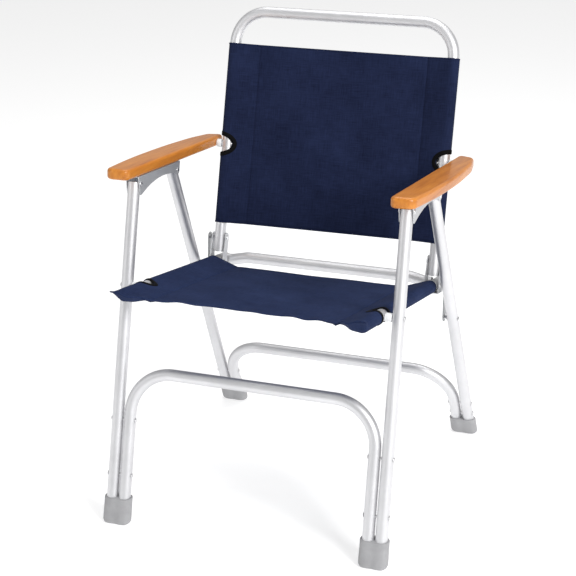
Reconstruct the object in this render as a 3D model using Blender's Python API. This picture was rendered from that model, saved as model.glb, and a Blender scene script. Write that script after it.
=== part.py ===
"""A folding deck armchair of round aluminium tube, with two fabric slings and wooden armrests.

Units are metres and +Z is up. +X is the sitter's left, -Y is the way the chair faces, and the origin is on
the floor under the middle of the chair. The chair stands open here. To fold, the rear of the seat, the back
and the rear ends of the armrests swing down behind the front legs, and the rear legs close up to them.
"""

import math

import bmesh
import bpy
from mathutils import Matrix, Vector

# Tube and fasteners
TUBE_RADIUS = 0.0111
TUBE_WALL = 0.0013
TUBE_SIDES = 16
PIN_RADIUS = 0.0025
BOLT_RADIUS = 0.003
HEAD_RADIUS = 0.0046
HEAD_HEIGHT = 0.0016
PIN_SIDES = 8
GAP = 0.0003

# Legs: y and z of a leg follow a straight line from its foot on the floor
FOOT_Y = 0.295
FRONT_LEAN = 0.2581
REAR_LEAN = 0.461
LEG_X = 0.259
FRONT_SPLAY = 0.0034
REAR_SPLAY = 0.0081
BRACE_SPACING = 0.0244
BRACE_BEND = 0.080
FRONT_BRACE_Z = 0.280
REAR_BRACE_Z = 0.157
FRONT_RIVETS_Z = (0.189, 0.088)
REAR_RIVETS_Z = (0.080, 0.054)
LEG_START_Z = 0.014
FOOT_RADIUS = 0.015
FRONT_FOOT_HEIGHT = 0.048
REAR_FOOT_HEIGHT = 0.039

# Pivots, as (y, z). Seat, front legs, armrests and back make a parallelogram.
SEAT_PIVOT_Z = 0.430
ARM_PIVOT_Z = 0.611
SEAT_PIVOT = Vector((FRONT_LEAN * SEAT_PIVOT_Z - FOOT_Y, SEAT_PIVOT_Z))
ARM_PIVOT = Vector((FRONT_LEAN * ARM_PIVOT_Z - FOOT_Y, ARM_PIVOT_Z))
BACK_BOLT = Vector((0.212, 0.594))
BACK_PIVOT = BACK_BOLT + SEAT_PIVOT - ARM_PIVOT
REAR_LEG_PIVOT = Vector((FOOT_Y - REAR_LEAN * 0.592, 0.592))
LINK_PIVOT_Z = 0.304
LINK_PIVOT = Vector((FOOT_Y - REAR_LEAN * LINK_PIVOT_Z, LINK_PIVOT_Z))
LEG_ABOVE_PIVOT = 0.003

# Seat
RAIL_X = 0.2246
RAIL_SLOPE = -0.185
RAIL_FRONT_Y = -0.266
RAIL_REAR_Y = 0.190
CROSS_TUBE_Y = 0.1775
CROSS_END_X = 0.203
CROSS_ARCH_X = 0.170
CROSS_RISE = 0.0075
CROSS_BEND = 0.030
CLEVIS_Y = (0.133, 0.163)
CLEVIS_WALL = 0.0024
CLEVIS_X = (0.2086, 0.2386)
CLEVIS_LOBE = 0.0095
LINK_X = (0.2445, 0.2470)
LINK_RADIUS = 0.0085
SPACER_RADIUS = 0.008
PLUG_LENGTH = 0.008
PLUG_HEAD = 0.003

# Back
UPRIGHT_X = 0.223
UPRIGHT_SLOPE = 0.2885
UPRIGHT_BOTTOM_Z = 0.386
BACK_TOP_Z = 0.846
BACK_BEND = 0.064
PIVOT_SETBACK = 0.003

# Slings
SLEEVE_CLEARANCE = 0.0004
SLEEVE_WALL = 0.0018
SLEEVE_STEP = 0.001
WEB_THICKNESS = 0.0026
WEB_STEPS = 10
BACK_SLING_Z = (0.446, 0.782)
BACK_SAG = 0.010
SEAT_SLING_Y = (-0.296, 0.128)
SEAT_SAG = 0.018
CUTOUT_HALF = 0.025
CUTOUT_INNER_X = 0.200

# Armrests
ARM_INNER_X = 0.244
ARM_WIDTH = 0.053
ARM_FRONT_WIDTH = 0.0465
ARM_THICKNESS = 0.020
ARM_SLOPE = -0.1122
ARM_FRONT = Vector((-0.195, 0.6326))
ARM_LENGTH = 0.439
ARM_TAPER_FROM = 0.18
ARM_CORNER = 0.011
ARM_EDGE = 0.005
BRACKET_X = (0.2454, 0.2726)
BRACKET_WALL = 0.002
BRACKET_Y = (-0.1455, 0.0350)
BRACKET_TIP_Z = 0.590
BRACKET_ARCH_Z = 0.6005
BRACKET_LOBE = 0.0095
ARM_SCREWS_Y = (-0.095, -0.015)
SCREW_DEPTH = 0.013

SIDES = (("left", 1), ("right", -1))
X_AXIS = Vector((1, 0, 0))


def clear_scene():
    for old in list(bpy.data.objects):
        bpy.data.objects.remove(old, do_unlink=True)


def material(name, colour, roughness, metallic=0.0):
    made = bpy.data.materials.new(name)
    made.use_nodes = True
    shader = made.node_tree.nodes["Principled BSDF"]
    shader.inputs["Base Color"].default_value = (*colour, 1.0)
    shader.inputs["Roughness"].default_value = roughness
    shader.inputs["Metallic"].default_value = metallic
    return made


MATERIALS = {
    "tube": ((0.62, 0.63, 0.65), 0.35, 1.0),
    "bracket": ((0.45, 0.47, 0.49), 0.45, 1.0),
    "rivet": ((0.70, 0.70, 0.70), 0.30, 1.0),
    "nylon": ((0.88, 0.89, 0.90), 0.45, 0.0),
    "rubber": ((0.30, 0.30, 0.31), 0.70, 0.0),
    "wood": ((0.55, 0.24, 0.06), 0.35, 0.0),
    "back_fabric": ((0.020, 0.028, 0.075), 0.90, 0.0),
    "seat_fabric": ((0.028, 0.045, 0.110), 0.90, 0.0),
}


def pivot(name, point, x=0.0, parent=None):
    """An empty on a joint's axis, which runs along X."""
    made = bpy.data.objects.new(name, None)
    bpy.context.collection.objects.link(made)
    made.location = (x, point.x, point.y)
    if parent is not None:
        hang(made, parent)
    return made


def hang(made, parent):
    """Parents an object placed in world space, and leaves it where it is."""
    bpy.context.view_layer.update()
    made.parent = parent
    made.matrix_parent_inverse = parent.matrix_world.inverted()


def add_object(name, bm, kind, parent, place=None):
    bmesh.ops.recalc_face_normals(bm, faces=bm.faces)
    mesh = bpy.data.meshes.new(name)
    bm.to_mesh(mesh)
    bm.free()
    mesh.shade_smooth()
    mesh.set_sharp_from_angle(angle=math.radians(35))
    mesh.materials.append(material(name, *MATERIALS[kind]))
    made = bpy.data.objects.new(name, mesh)
    bpy.context.collection.objects.link(made)
    if place is not None:
        made.matrix_world = place
    if parent is not None:
        hang(made, parent)
    return made


def add_cutter(name, bm, place=None):
    bmesh.ops.recalc_face_normals(bm, faces=bm.faces)
    mesh = bpy.data.meshes.new(name)
    bm.to_mesh(mesh)
    bm.free()
    made = bpy.data.objects.new(name, mesh)
    bpy.context.collection.objects.link(made)
    made.hide_render = True
    made.display_type = "WIRE"
    if place is not None:
        made.matrix_world = place
    return made


def combine(made, other, operation):
    boolean = made.modifiers.new(operation.lower(), "BOOLEAN")
    boolean.operation = operation
    boolean.object = other
    boolean.solver = "EXACT"


def ring_faces(bm, rings, turn=1):
    """Joins each ring of vertices to the next one."""
    for low, high in zip(rings, rings[1:]):
        count = len(low)
        for index in range(count):
            after = (index + 1) % count
            bm.faces.new((low[index], low[after], high[after], high[index])[::turn])


def loft(rings):
    """A closed solid through rings of points, with flat ends."""
    bm = bmesh.new()
    made = [[bm.verts.new(point) for point in ring] for ring in rings]
    ring_faces(bm, made)
    bm.faces.new(made[0][::-1])
    bm.faces.new(made[-1])
    return bm


def circle(centre, across, up, radius, sides):
    points = []
    for index in range(sides):
        angle = 2 * math.pi * index / sides
        points.append(centre + radius * (math.cos(angle) * across + math.sin(angle) * up))
    return points


def bent_path(corners, radius, steps=6):
    """The corners joined by straight runs, with each inner corner rounded to the bend radius."""
    path = [corners[0]]
    for before, corner, after in zip(corners, corners[1:], corners[2:]):
        incoming = (corner - before).normalized()
        outgoing = (after - corner).normalized()
        turn = incoming.angle(outgoing)
        reach = radius * math.tan(turn / 2)
        start = corner - reach * incoming
        inward = (outgoing - incoming * incoming.dot(outgoing)).normalized()
        for step in range(steps + 1):
            angle = turn * step / steps
            path.append(start + radius * (math.sin(angle) * incoming + (1 - math.cos(angle)) * inward))
    path.append(corners[-1])
    return path


def sweep_rings(path, normal, radius, sides):
    """Rings round a path that lies in the plane with this normal."""
    rings = []
    for index, point in enumerate(path):
        before = path[max(index - 1, 0)]
        after = path[min(index + 1, len(path) - 1)]
        tangent = ((point - before).normalized() + (after - point).normalized()).normalized()
        rings.append(circle(point, normal, tangent.cross(normal).normalized(), radius, sides))
    return rings


def tube_mesh(path, normal, radius, wall, sides=TUBE_SIDES):
    """A hollow tube that is open at both ends."""
    bm = bmesh.new()
    outer = [[bm.verts.new(p) for p in ring] for ring in sweep_rings(path, normal, radius, sides)]
    inner = [[bm.verts.new(p) for p in ring] for ring in sweep_rings(path, normal, radius - wall, sides)]
    ring_faces(bm, outer)
    ring_faces(bm, inner, -1)
    ring_faces(bm, [inner[0], outer[0]])
    ring_faces(bm, [outer[-1], inner[-1]])
    return bm


def turned(profile, sides=PIN_SIDES):
    """A solid turned about the X axis, from (x, radius) pairs."""
    up, back = Vector((0, 0, 1)), Vector((0, 1, 0))
    return loft([circle(X_AXIS * x, back, up, radius, sides) for x, radius in profile])


def turned_sleeve(start, end, radius, bore, sides=16):
    bm = tube_mesh([X_AXIS * start, X_AXIS * end], Vector((0, 0, 1)), radius, radius - bore, sides)
    return bm


def at(point):
    """The place of a piece whose own X axis lies on a pivot."""
    return Matrix.Translation((0, point.x, point.y))


def prism(outline, low_x, high_x):
    """A plate cut to an outline of (y, z) points, from one x to another."""
    return loft([[Vector((x, y, z)) for y, z in outline] for x in sorted((low_x, high_x))])


def arc(centre, radius, start_deg, end_deg, steps=6):
    points = []
    for step in range(steps + 1):
        angle = math.radians(start_deg + (end_deg - start_deg) * step / steps)
        points.append((centre.x + radius * math.cos(angle), centre.y + radius * math.sin(angle)))
    return points


def drill(made, name, point, radius, low_x, high_x):
    """A hole along X through a piece."""
    profile = [(min(low_x, high_x), radius), (max(low_x, high_x), radius)]
    cutter = add_cutter(f"{made.name}_{name}_cutter", turned(profile), at(point))
    combine(made, cutter, "DIFFERENCE")


def pin_profile(sign, inner, outer, radius=PIN_RADIUS):
    """A rivet with a head against each of two faces, which are given as distances from the middle."""
    low, high = inner - GAP, outer + GAP
    profile = [
        (low - HEAD_HEIGHT, HEAD_RADIUS * 0.6),
        (low, HEAD_RADIUS),
        (low, radius),
        (high, radius),
        (high, HEAD_RADIUS),
        (high + HEAD_HEIGHT, HEAD_RADIUS * 0.6),
    ]
    return [(sign * x, r) for x, r in profile]


def add_pin(name, sign, point, inner, outer, parent, kind="rivet"):
    return add_object(name, turned(pin_profile(sign, inner, outer)), kind, parent, at(point))


def front_y(z):
    return FRONT_LEAN * z - FOOT_Y


def rear_y(z):
    return FOOT_Y - REAR_LEAN * z


def front_leg_x(z):
    return LEG_X + FRONT_SPLAY * (1 - z / ARM_PIVOT_Z)


def rear_leg_x(z):
    return LEG_X + REAR_SPLAY * (1 - z / REAR_LEG_PIVOT.y)


def rail_z(y):
    return SEAT_PIVOT.y + RAIL_SLOPE * (y - SEAT_PIVOT.x)


def upright_y(z):
    return BACK_BOLT.x + PIVOT_SETBACK + UPRIGHT_SLOPE * (z - BACK_BOLT.y)


def arm_under_z(y):
    return ARM_FRONT.y + ARM_SLOPE * (y - ARM_FRONT.x)


def stadium(centre_x, centre_y, z, half_straight, radius, sides=16):
    """A level outline of two half circles joined by straight sides."""
    points = []
    for index in range(sides):
        angle = 2 * math.pi * (index + 0.5) / sides
        offset = half_straight if math.cos(angle) > 0 else -half_straight
        x = centre_x + offset + radius * math.cos(angle)
        points.append(Vector((x, centre_y + radius * math.sin(angle), z)))
    return points


def add_foot(name, sign, line_y, line_x, height, parent):
    """A moulded cap that holds the ends of a leg and its brace."""
    levels = ((0, 0.94), (0.002, 1.0), (0.25 * height, 0.985), (0.6 * height, 0.955), (height, 0.99))
    rings = []
    for z, swell in levels:
        x = line_x(z) - BRACE_SPACING / 2
        rings.append(stadium(sign * x, line_y(z), z, BRACE_SPACING / 2, FOOT_RADIUS * swell))
    foot = add_object(name, loft(rings), "rubber", parent)
    for index, inset in enumerate((0, BRACE_SPACING)):
        ends = []
        for z in (LEG_START_Z, height + 0.02):
            ends.append(Vector((sign * (line_x(z) - inset), line_y(z), z)))
        along = (ends[1] - ends[0]).normalized()
        start = ends[0] - 2 * GAP * along
        across = along.cross(X_AXIS).normalized()
        rings = [circle(p, across, along.cross(across), TUBE_RADIUS + GAP, TUBE_SIDES) for p in (start, ends[1])]
        combine(foot, add_cutter(f"{name}_socket_{index}", loft(rings)), "DIFFERENCE")


def add_leg_frame(name, line_y, line_x, top, brace_z, rivets_z, foot_height, parent):
    """Two legs, the brace that joins them, its rivets and the four feet's half of the chair."""
    along = Vector((0, top.x - line_y(0), top.y)).normalized()
    normal = X_AXIS.cross(along)
    top_z = top.y + LEG_ABOVE_PIVOT * along.z
    legs = {}
    for side, sign in SIDES:
        low = Vector((sign * line_x(LEG_START_Z), line_y(LEG_START_Z), LEG_START_Z))
        high = Vector((sign * line_x(top_z), line_y(top_z), top_z))
        mesh = tube_mesh([low, high], normal, TUBE_RADIUS, TUBE_WALL)
        legs[side] = add_object(f"{name}_leg_{side}", mesh, "tube", parent)
        add_foot(f"{name}_foot_{side}", sign, line_y, line_x, foot_height, parent)
    corners = []
    for sign, z in ((1, LEG_START_Z), (1, brace_z), (-1, brace_z), (-1, LEG_START_Z)):
        corners.append(Vector((sign * (line_x(z) - BRACE_SPACING), line_y(z), z)))
    mesh = tube_mesh(bent_path(corners, BRACE_BEND), normal, TUBE_RADIUS, TUBE_WALL)
    brace = add_object(f"{name}_brace", mesh, "tube", parent)
    for side, sign in SIDES:
        for label, z in zip(("upper", "lower"), rivets_z):
            point = Vector((line_y(z), z))
            inner = line_x(z) - BRACE_SPACING - TUBE_RADIUS
            outer = line_x(z) + TUBE_RADIUS
            add_pin(f"{name}_rivet_{label}_{side}", sign, point, inner, outer, parent)
            reach = (sign * (inner - 0.01), sign * (outer + 0.01))
            drill(legs[side], label, point, PIN_RADIUS + GAP, *reach)
            drill(brace, f"{label}_{side}", point, PIN_RADIUS + GAP, *reach)
    return legs


def add_armrest(side, sign, parent):
    """The wooden armrest: straight inside, gently bowed outside and rounded off towards its rear end."""
    outline = []
    for centre_x, centre_s, start, end in (
        (ARM_FRONT_WIDTH - ARM_CORNER, ARM_CORNER, -90, 0),
        (ARM_CORNER, ARM_CORNER, 180, 270),
    ):
        outline.append(arc(Vector((centre_x, centre_s)), ARM_CORNER, start, end, 4))
    outer_edge = []
    for step in range(1, 5):
        reach = 1 - step / 5
        narrowing = (ARM_WIDTH - ARM_FRONT_WIDTH) * reach**3
        outer_edge.append((ARM_WIDTH - narrowing, ARM_TAPER_FROM * (1 - reach)))
    taper = ARM_LENGTH - ARM_TAPER_FROM
    for step in range(13):
        reach = math.sin(math.pi / 2 * step / 12)
        outer_edge.append((ARM_WIDTH * math.sqrt(1 - reach**4), ARM_TAPER_FROM + taper * reach))
    outer_edge[-1] = (ARM_EDGE, ARM_LENGTH)
    plan = outline[0] + outer_edge + [(0, ARM_LENGTH - ARM_EDGE)] + outline[1]
    levels = []
    for z in (0, ARM_THICKNESS):
        levels.append([Vector((sign * (ARM_INNER_X + x), s, z)) for x, s in plan])
    tilt = Matrix.Rotation(math.atan(ARM_SLOPE), 4, "X")
    place = Matrix.Translation((0, ARM_FRONT.x, ARM_FRONT.y)) @ tilt
    arm = add_object(f"armrest_{side}", loft(levels), "wood", parent, place)
    bevel = arm.modifiers.new("rounded edges", "BEVEL")
    bevel.width = ARM_EDGE
    bevel.segments = 2
    bevel.limit_method = "ANGLE"
    bevel.angle_limit = math.radians(50)
    return arm


def bracket_outline():
    """The bracket's side: a pointed front, an arched lower edge and a round lobe at the rear leg."""
    front, rear = BRACKET_Y
    top_front = (front, arm_under_z(front) - GAP)
    top_rear = (rear, arm_under_z(rear) - GAP)
    lobe = arc(REAR_LEG_PIVOT, BRACKET_LOBE, 0, -150, 6)
    tip = (front + 0.010, BRACKET_TIP_Z)
    start_y, start_z = lobe[-1]
    arch = []
    for step in range(1, 8):
        share = step / 8
        y = start_y + (tip[0] - start_y) * share
        base_z = start_z + (tip[1] - start_z) * share
        rise = BRACKET_ARCH_Z - (start_z + tip[1]) / 2
        arch.append((y, base_z + rise * 4 * share * (1 - share)))
    return [top_front, top_rear] + lobe + arch + [tip, (front + 0.002, BRACKET_TIP_Z + 0.004)]


def add_bracket(side, sign, parent):
    """The sheet bracket under an armrest, folded to a channel round the tops of two legs."""
    low, high = BRACKET_X
    bracket = add_object(f"arm_bracket_{side}", prism(bracket_outline(), sign * low, sign * high), "bracket", parent)
    front, rear = BRACKET_Y[0] - 0.01, BRACKET_Y[1] + 0.01
    depth = GAP + BRACKET_WALL
    hollow = [
        (front, arm_under_z(front) - depth),
        (front, BRACKET_TIP_Z - 0.03),
        (rear, BRACKET_TIP_Z - 0.03),
        (rear, arm_under_z(rear) - depth),
    ]
    walls = (sign * (low + BRACKET_WALL), sign * (high - BRACKET_WALL))
    combine(bracket, add_cutter(f"arm_bracket_{side}_hollow", prism(hollow, *walls)), "DIFFERENCE")
    return bracket


def add_arm_screws(side, sign, arm, bracket, parent):
    """Two screws up through the bracket into the armrest."""
    tilt = Matrix.Rotation(math.atan(ARM_SLOPE), 4, "X")
    stand = tilt @ Matrix.Rotation(math.radians(-90), 4, "Y")
    x = sign * sum(BRACKET_X) / 2
    head_top = -GAP * 2 - BRACKET_WALL
    for label, y in zip(("front", "rear"), ARM_SCREWS_Y):
        place = Matrix.Translation((x, y, arm_under_z(y))) @ stand
        profile = [
            (head_top - HEAD_HEIGHT, HEAD_RADIUS * 0.8),
            (head_top, HEAD_RADIUS),
            (head_top, PIN_RADIUS),
            (SCREW_DEPTH, PIN_RADIUS),
        ]
        add_object(f"arm_screw_{label}_{side}", turned(profile), "rivet", parent, place)
        hole = [(head_top - 0.01, PIN_RADIUS + GAP), (SCREW_DEPTH + GAP, PIN_RADIUS + GAP)]
        cutter = add_cutter(f"arm_screw_{label}_{side}_cutter", turned(hole), place)
        combine(arm, cutter, "DIFFERENCE")
        combine(bracket, cutter, "DIFFERENCE")


def add_clevis(side, sign, parent):
    """The U plate round a seat rail. Its two ears rise on either side of the back's upright."""
    low, high = CLEVIS_X
    front, rear = CLEVIS_Y
    under = TUBE_RADIUS + GAP + CLEVIS_WALL
    lobe = arc(BACK_PIVOT, CLEVIS_LOBE, -20, 200, 8)
    outline = [
        (front, rail_z(front) - under),
        (rear, rail_z(rear) - under),
        (rear, rail_z(rear) + TUBE_RADIUS + 0.002),
    ] + lobe
    clevis = add_object(f"seat_clevis_{side}", prism(outline, sign * low, sign * high), "bracket", parent)
    hollow = [
        (front - 0.02, rail_z(front - 0.02) - under + CLEVIS_WALL),
        (rear + 0.02, rail_z(rear + 0.02) - under + CLEVIS_WALL),
        (rear + 0.02, BACK_PIVOT.y + 0.03),
        (front - 0.02, BACK_PIVOT.y + 0.03),
    ]
    walls = (sign * (low + CLEVIS_WALL), sign * (high - CLEVIS_WALL))
    combine(clevis, add_cutter(f"seat_clevis_{side}_hollow", prism(hollow, *walls)), "DIFFERENCE")
    return clevis


def add_plug(name, x, y, outward, parent):
    """A push-in plug that closes one end of a seat rail."""
    profile = [(-PLUG_LENGTH, 0.0088), (-GAP, 0.0092), (-GAP, TUBE_RADIUS), (PLUG_HEAD, TUBE_RADIUS * 0.8)]
    bm = turned([(position + GAP, radius) for position, radius in profile[:2]] + profile[2:], 16)
    turn = Vector((1, 0, 0)).rotation_difference(outward).to_matrix().to_4x4()
    place = Matrix.Translation(Vector((x, y, rail_z(y))) + 2 * GAP * outward) @ turn
    add_object(name, bm, "nylon", parent, place)


def add_sling(name, kind, edges, along, out, sleeve_x, sag, cutout, parent):
    """A sling: a sleeve round each of two tubes, and a slack sheet between them."""
    start, end = edges
    bm_rings = []
    reach = sleeve_x - TUBE_RADIUS - SLEEVE_CLEARANCE - SLEEVE_WALL / 2
    for centre in (start, end):
        front_face, rear_face = [], []
        for step in range(WEB_STEPS + 1):
            x = reach * (2 * step / WEB_STEPS - 1)
            depth = sag * (1 - (x / reach) ** 2)
            middle = centre + X_AXIS * x - out * depth
            front_face.append(middle + out * WEB_THICKNESS / 2)
            rear_face.append(middle - out * WEB_THICKNESS / 2)
        bm_rings.append(front_face + rear_face[::-1])
    sling = add_object(name, loft(bm_rings), kind, parent)
    radius = TUBE_RADIUS + SLEEVE_CLEARANCE + SLEEVE_WALL
    window_ends = (cutout - along * CUTOUT_HALF, cutout + along * CUTOUT_HALF)
    for side, sign in SIDES:
        window = []
        for centre in (window_ends[0] - along * SLEEVE_STEP, window_ends[1] + along * SLEEVE_STEP):
            ring = []
            for x, depth in ((CUTOUT_INNER_X, -0.03), (0.26, -0.03), (0.26, 0.03), (CUTOUT_INNER_X, 0.03)):
                ring.append(centre + X_AXIS * sign * x + out * depth)
            window.append(ring)
        combine(sling, add_cutter(f"{name}_cutout_{side}", loft(window)), "DIFFERENCE")
    for side, sign in SIDES:
        aside = X_AXIS * sign * sleeve_x
        low_ends = (start + along * SLEEVE_STEP, window_ends[0])
        high_ends = (window_ends[1], end - along * SLEEVE_STEP)
        for label, ends in (("low", low_ends), ("high", high_ends)):
            path = [point + aside for point in ends]
            sleeve = tube_mesh(path, out, radius, SLEEVE_WALL, 16)
            combine(sling, add_cutter(f"{name}_sleeve_{label}_{side}", sleeve), "UNION")


def add_link(side, sign, parent):
    """The flat bar from a rear leg up to the back's pivot, with the stub of its upper rivet."""
    direction = BACK_PIVOT - LINK_PIVOT
    heading = math.degrees(math.atan2(direction.y, direction.x))
    outline = arc(BACK_PIVOT, LINK_RADIUS, heading - 90, heading + 90)
    outline += arc(LINK_PIVOT, LINK_RADIUS, heading + 90, heading + 270)
    low, high = LINK_X
    link = add_object(f"link_{side}", prism(outline, sign * low, sign * high), "bracket", parent)
    stub = [(sign * (low - 0.0033), HEAD_RADIUS), (sign * (low + 0.001), HEAD_RADIUS)]
    combine(link, add_cutter(f"link_{side}_stub", turned(stub), at(BACK_PIVOT)), "UNION")
    drill(link, "bore", LINK_PIVOT, PIN_RADIUS + GAP, sign * (low - 0.01), sign * (high + 0.01))


def add_link_rivet(side, sign, parent):
    """The rivet at a link's lower end, with a shoulder that keeps the link off the leg."""
    leg_inner = rear_leg_x(LINK_PIVOT.y) - TUBE_RADIUS
    leg_outer = rear_leg_x(LINK_PIVOT.y) + TUBE_RADIUS
    low, high = LINK_X
    profile = [
        (low - GAP - HEAD_HEIGHT, HEAD_RADIUS * 0.6),
        (low - GAP, HEAD_RADIUS),
        (low - GAP, PIN_RADIUS),
        (high + GAP, PIN_RADIUS),
        (high + GAP, HEAD_RADIUS),
        (leg_inner - GAP, HEAD_RADIUS),
        (leg_inner - GAP, PIN_RADIUS),
        (leg_outer + GAP, PIN_RADIUS),
        (leg_outer + GAP, HEAD_RADIUS),
        (leg_outer + GAP + HEAD_HEIGHT, HEAD_RADIUS * 0.6),
    ]
    add_object(f"link_rivet_{side}", turned([(sign * x, r) for x, r in profile]), "rivet", parent, at(LINK_PIVOT))


def add_back_bolt(side, sign, parent):
    """The bolt that hangs the back on an armrest, and the nylon spacer between them."""
    upright_inner = UPRIGHT_X - TUBE_RADIUS
    profile = [
        (upright_inner - GAP - 0.0020, HEAD_RADIUS),
        (upright_inner - GAP, 0.0055),
        (upright_inner - GAP, BOLT_RADIUS),
        (ARM_INNER_X + 0.034, BOLT_RADIUS),
    ]
    add_object(f"back_bolt_{side}", turned([(sign * x, r) for x, r in profile]), "rivet", parent, at(BACK_BOLT))
    ends = (sign * (UPRIGHT_X + TUBE_RADIUS + GAP), sign * (ARM_INNER_X - GAP))
    spacer = turned_sleeve(*ends, SPACER_RADIUS, BOLT_RADIUS + GAP)
    add_object(f"back_spacer_{side}", spacer, "nylon", parent, at(BACK_BOLT))


def build():
    clear_scene()
    seat_axis = pivot("seat_axis", SEAT_PIVOT)
    back_axis = pivot("back_axis", BACK_PIVOT, parent=seat_axis)
    arm_axes = {side: pivot(f"arm_axis_{side}", ARM_PIVOT, sign * LEG_X) for side, sign in SIDES}
    rear_axis = pivot("rear_leg_axis", REAR_LEG_PIVOT, parent=arm_axes["left"])

    front_legs = add_leg_frame(
        "front", front_y, front_leg_x, ARM_PIVOT, FRONT_BRACE_Z, FRONT_RIVETS_Z, FRONT_FOOT_HEIGHT, None
    )
    rear_legs = add_leg_frame(
        "rear", rear_y, rear_leg_x, REAR_LEG_PIVOT, REAR_BRACE_Z, REAR_RIVETS_Z, REAR_FOOT_HEIGHT, rear_axis
    )

    rail_along = Vector((0, 1, RAIL_SLOPE)).normalized()
    rail_up = X_AXIS.cross(rail_along)
    cross_reach = RAIL_X - TUBE_RADIUS - GAP
    cross_corners = []
    for sign in (-1, 1):
        half = [(cross_reach, 0), (CROSS_END_X, 0), (CROSS_ARCH_X, CROSS_RISE)]
        for x, rise in half if sign < 0 else reversed(half):
            cross_corners.append(Vector((sign * x, CROSS_TUBE_Y, rail_z(CROSS_TUBE_Y) + rise)))
    cross_path = bent_path(cross_corners, CROSS_BEND)
    cross_normal = Vector((0, 1, 0))
    cross_mesh = tube_mesh(cross_path, cross_normal, TUBE_RADIUS, TUBE_WALL)
    cross_tube = add_object("seat_cross_tube", cross_mesh, "tube", seat_axis)

    upright_along = Vector((0, UPRIGHT_SLOPE, 1)).normalized()
    upright_front = X_AXIS.cross(upright_along)
    corners = []
    for sign, z in ((1, UPRIGHT_BOTTOM_Z), (1, BACK_TOP_Z), (-1, BACK_TOP_Z), (-1, UPRIGHT_BOTTOM_Z)):
        corners.append(Vector((sign * UPRIGHT_X, upright_y(z), z)))
    back_path = bent_path(corners, BACK_BEND)
    back_frame = add_object("back_frame", tube_mesh(back_path, upright_front, TUBE_RADIUS, TUBE_WALL), "tube", back_axis)

    for side, sign in SIDES:
        front_leg, rear_leg, arm_axis = front_legs[side], rear_legs[side], arm_axes[side]
        rail_path = [Vector((sign * RAIL_X, y, rail_z(y))) for y in (RAIL_FRONT_Y, RAIL_REAR_Y)]
        rail = add_object(f"seat_rail_{side}", tube_mesh(rail_path, rail_up, TUBE_RADIUS, TUBE_WALL), "tube", seat_axis)
        add_plug(f"seat_plug_front_{side}", sign * RAIL_X, RAIL_FRONT_Y, -rail_along, seat_axis)
        add_plug(f"seat_plug_rear_{side}", sign * RAIL_X, RAIL_REAR_Y, rail_along, seat_axis)
        clevis = add_clevis(side, sign, seat_axis)

        rail_inner, rail_outer = RAIL_X - TUBE_RADIUS, RAIL_X + TUBE_RADIUS
        leg_outer = front_leg_x(SEAT_PIVOT.y) + TUBE_RADIUS
        add_pin(f"seat_rivet_{side}", sign, SEAT_PIVOT, rail_inner, leg_outer, None)
        leg_inner = front_leg_x(SEAT_PIVOT.y) - TUBE_RADIUS
        ends = (sign * (rail_outer + GAP), sign * (leg_inner - GAP))
        spacer = turned_sleeve(*ends, SPACER_RADIUS, PIN_RADIUS + GAP)
        add_object(f"seat_spacer_{side}", spacer, "nylon", None, at(SEAT_PIVOT))
        for holed in (rail, front_leg):
            drill(holed, "seat_rivet", SEAT_PIVOT, PIN_RADIUS + GAP, sign * 0.2, sign * 0.28)

        corner = Vector((CROSS_TUBE_Y, rail_z(CROSS_TUBE_Y)))
        profile = [
            (rail_outer + GAP + HEAD_HEIGHT, HEAD_RADIUS * 0.6),
            (rail_outer + GAP, HEAD_RADIUS),
            (rail_outer + GAP, PIN_RADIUS),
            (rail_inner - 0.030, PIN_RADIUS),
        ]
        bolt = turned([(sign * x, r) for x, r in profile])
        add_object(f"seat_corner_bolt_{side}", bolt, "rivet", seat_axis, at(corner))
        drill(rail, "corner_bolt", corner, PIN_RADIUS + GAP, sign * 0.2, sign * 0.26)

        plate = Vector((sum(CLEVIS_Y) / 2, rail_z(sum(CLEVIS_Y) / 2)))
        add_pin(f"clevis_rivet_{side}", sign, plate, *CLEVIS_X, seat_axis)
        add_pin(f"back_rivet_{side}", sign, BACK_PIVOT, *CLEVIS_X, seat_axis)
        for holed in (rail, clevis):
            drill(holed, "clevis_rivet", plate, PIN_RADIUS + GAP, sign * 0.19, sign * 0.26)
        drill(clevis, "back_rivet", BACK_PIVOT, PIN_RADIUS + GAP, sign * 0.19, sign * 0.26)
        drill(back_frame, f"back_rivet_{side}", BACK_PIVOT, PIN_RADIUS + GAP, sign * 0.19, sign * 0.26)

        arm = add_armrest(side, sign, arm_axis)
        bracket = add_bracket(side, sign, arm_axis)
        add_arm_screws(side, sign, arm, bracket, arm_axis)
        add_pin(f"arm_rivet_front_{side}", sign, ARM_PIVOT, *BRACKET_X, arm_axis)
        add_pin(f"arm_rivet_rear_{side}", sign, REAR_LEG_PIVOT, *BRACKET_X, arm_axis)
        for label, point, leg in (("front", ARM_PIVOT, front_leg), ("rear", REAR_LEG_PIVOT, rear_leg)):
            for holed in (bracket, leg):
                drill(holed, f"arm_rivet_{label}", point, PIN_RADIUS + GAP, sign * 0.23, sign * 0.29)

        add_back_bolt(side, sign, arm_axis)
        drill(arm, "back_bolt", BACK_BOLT, BOLT_RADIUS + GAP, sign * 0.23, sign * (ARM_INNER_X + 0.035))
        drill(back_frame, f"back_bolt_{side}", BACK_BOLT, BOLT_RADIUS + GAP, sign * 0.19, sign * 0.25)

        link_axis = pivot(f"link_axis_{side}", LINK_PIVOT, sign * LINK_X[0], rear_axis)
        add_link(side, sign, link_axis)
        add_link_rivet(side, sign, rear_axis)
        drill(rear_leg, "link_rivet", LINK_PIVOT, PIN_RADIUS + GAP, sign * 0.24, sign * 0.29)

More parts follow.
